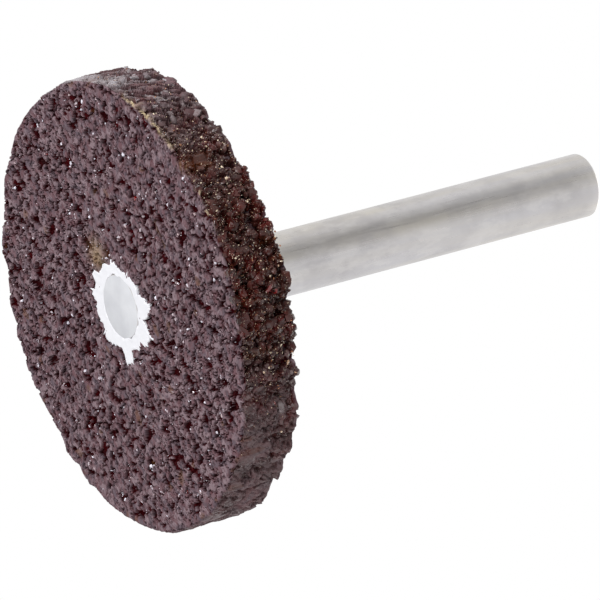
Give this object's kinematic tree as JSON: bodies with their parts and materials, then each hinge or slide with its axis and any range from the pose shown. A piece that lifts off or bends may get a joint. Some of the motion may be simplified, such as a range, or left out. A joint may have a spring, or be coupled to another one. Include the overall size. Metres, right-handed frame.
{
  "type": "mounted point",
  "caption": "Flat abrasive wheel of coarse dark grain, cemented on a plain round steel spindle that a collet grips, for grinding with a hand-held power tool.",
  "frame": {"origin": "centre of the wheel's front face, which is the part's lowest plane", "axes": "+Z along the spindle, from the wheel's front face to the spindle's free end; the part stands on its wheel"},
  "size_m": [0.042, 0.042, 0.0506],
  "materials": {
    "abrasive": "coarse bonded grain, dark maroon with grey dressed tops",
    "cement": "matt white cement",
    "steel": "ground, satin"
  },
  "bodies": {
    "root": {"abrasive_wheel": "abrasive", "bond_cement": "cement", "spindle": "steel"}
  },
  "joints": []
}
